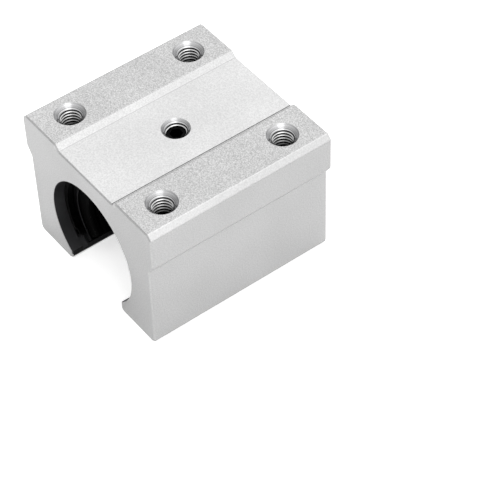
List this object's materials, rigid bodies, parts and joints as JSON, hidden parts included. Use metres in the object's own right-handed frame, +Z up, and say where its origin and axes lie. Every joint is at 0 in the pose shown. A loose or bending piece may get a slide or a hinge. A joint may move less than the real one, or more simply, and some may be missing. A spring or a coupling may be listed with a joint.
{
  "type": "linear bearing block",
  "caption": "Open linear bearing block: flanged aluminium housing with a recirculating ball bearing, tapped top holes and an open underside for a supported shaft.",
  "frame": {"origin": "on the shaft's axis at mid-length of the block", "axes": "+Z up out of the top mounting face, +Y along the shaft towards the rear end, +X to the right seen from the front end"},
  "size_m": [0.045, 0.045, 0.033],
  "materials": {
    "housing": "sand-blasted and clear anodised",
    "blackened_steel": "black oxide",
    "bearing_steel": "black oxide on hardened steel",
    "cage": "moulded, glossy",
    "seal": "matte",
    "ring_steel": "dark rolled steel",
    "balls": "polished"
  },
  "bodies": {
    "block": {"housing": "housing", "set_screw": "blackened_steel", "circlip_front": "blackened_steel", "circlip_rear": "blackened_steel", "bearing_sleeve": "bearing_steel", "ball_retainer": "cage", "return_ring_front": "cage", "return_ring_rear": "cage", "end_seal_front": "seal", "end_seal_rear": "seal", "end_ring_front": "ring_steel", "end_ring_rear": "ring_steel"},
    "load_row_1": {"load_balls_1": "balls"},
    "return_row_1": {"return_balls_1": "balls"},
    "load_row_2": {"load_balls_2": "balls"},
    "return_row_2": {"return_balls_2": "balls"},
    "load_row_3": {"load_balls_3": "balls"},
    "return_row_3": {"return_balls_3": "balls"},
    "load_row_4": {"load_balls_4": "balls"},
    "return_row_4": {"return_balls_4": "balls"},
    "front_turn_1": {"turn_balls_front_1": "balls"},
    "rear_turn_1": {"turn_balls_rear_1": "balls"},
    "front_turn_2": {"turn_balls_front_2": "balls"},
    "rear_turn_2": {"turn_balls_rear_2": "balls"},
    "front_turn_3": {"turn_balls_front_3": "balls"},
    "rear_turn_3": {"turn_balls_rear_3": "balls"},
    "front_turn_4": {"turn_balls_front_4": "balls"},
    "rear_turn_4": {"turn_balls_rear_4": "balls"}
  },
  "joints": [
    {"name": "load_row_1_travel", "type": "slide", "parent": "block", "child": "load_row_1", "axis": [0, 1, 0], "range_m": [-0.00167, 0.00167]},
    {"name": "return_row_1_travel", "type": "slide", "parent": "block", "child": "return_row_1", "axis": [0, -1, 0], "range_m": [-0.00168, 0.00168]},
    {"name": "load_row_2_travel", "type": "slide", "parent": "block", "child": "load_row_2", "axis": [0, 1, 0], "range_m": [-0.00168, 0.00168]},
    {"name": "return_row_2_travel", "type": "slide", "parent": "block", "child": "return_row_2", "axis": [0, -1, 0], "range_m": [-0.00168, 0.00168]},
    {"name": "load_row_3_travel", "type": "slide", "parent": "block", "child": "load_row_3", "axis": [0, 1, 0], "range_m": [-0.00168, 0.00168]},
    {"name": "return_row_3_travel", "type": "slide", "parent": "block", "child": "return_row_3", "axis": [0, -1, 0], "range_m": [-0.00168, 0.00168]},
    {"name": "load_row_4_travel", "type": "slide", "parent": "block", "child": "load_row_4", "axis": [0, 1, 0], "range_m": [-0.00168, 0.00168]},
    {"name": "return_row_4_travel", "type": "slide", "parent": "block", "child": "return_row_4", "axis": [0, -1, 0], "range_m": [-0.00168, 0.00168]},
    {"name": "front_turn_1_travel", "type": "hinge", "parent": "block", "child": "front_turn_1", "pos_m": [-0.01, -0.01005, -0.00097], "axis": [0.9227, 0, 0.3855], "range_deg": [-30, 30]},
    {"name": "rear_turn_1_travel", "type": "hinge", "parent": "block", "child": "rear_turn_1", "pos_m": [-0.01, 0.01005, -0.00097], "axis": [0.9227, 0, 0.3855], "range_deg": [-30, 30]},
    {"name": "front_turn_2_travel", "type": "hinge", "parent": "block", "child": "front_turn_2", "pos_m": [-0.00454, -0.01005, 0.00896], "axis": [0.6947, 0, -0.7193], "range_deg": [-30, 30]},
    {"name": "rear_turn_2_travel", "type": "hinge", "parent": "block", "child": "rear_turn_2", "pos_m": [-0.00454, 0.01005, 0.00896], "axis": [0.6947, 0, -0.7193], "range_deg": [-30, 30]},
    {"name": "front_turn_3_travel", "type": "hinge", "parent": "block", "child": "front_turn_3", "pos_m": [0.00454, -0.01005, 0.00896], "axis": [0.6947, 0, 0.7193], "range_deg": [-30, 30]},
    {"name": "rear_turn_3_travel", "type": "hinge", "parent": "block", "child": "rear_turn_3", "pos_m": [0.00454, 0.01005, 0.00896], "axis": [0.6947, 0, 0.7193], "range_deg": [-30, 30]},
    {"name": "front_turn_4_travel", "type": "hinge", "parent": "block", "child": "front_turn_4", "pos_m": [0.01, -0.01005, -0.00097], "axis": [0.9227, 0, -0.3855], "range_deg": [-30, 30]},
    {"name": "rear_turn_4_travel", "type": "hinge", "parent": "block", "child": "rear_turn_4", "pos_m": [0.01, 0.01005, -0.00097], "axis": [0.9227, 0, -0.3855], "range_deg": [-30, 30]}
  ],
  "couplings": [
    {"joint": "return_row_1_travel", "follows": "load_row_1_travel", "ratio": 1},
    {"joint": "load_row_2_travel", "follows": "load_row_1_travel", "ratio": 1},
    {"joint": "return_row_2_travel", "follows": "load_row_1_travel", "ratio": 1},
    {"joint": "load_row_3_travel", "follows": "load_row_1_travel", "ratio": 1},
    {"joint": "return_row_3_travel", "follows": "load_row_1_travel", "ratio": 1},
    {"joint": "load_row_4_travel", "follows": "load_row_1_travel", "ratio": 1},
    {"joint": "return_row_4_travel", "follows": "load_row_1_travel", "ratio": 1},
    {"joint": "front_turn_1_travel", "follows": "load_row_1_travel", "rad_per_m": 312.6},
    {"joint": "rear_turn_1_travel", "follows": "load_row_1_travel", "rad_per_m": 312.6},
    {"joint": "front_turn_2_travel", "follows": "load_row_1_travel", "rad_per_m": 312.6},
    {"joint": "rear_turn_2_travel", "follows": "load_row_1_travel", "rad_per_m": 312.6},
    {"joint": "front_turn_3_travel", "follows": "load_row_1_travel", "rad_per_m": 312.6},
    {"joint": "rear_turn_3_travel", "follows": "load_row_1_travel", "rad_per_m": 312.6},
    {"joint": "front_turn_4_travel", "follows": "load_row_1_travel", "rad_per_m": 312.6},
    {"joint": "rear_turn_4_travel", "follows": "load_row_1_travel", "rad_per_m": 312.6}
  ]
}
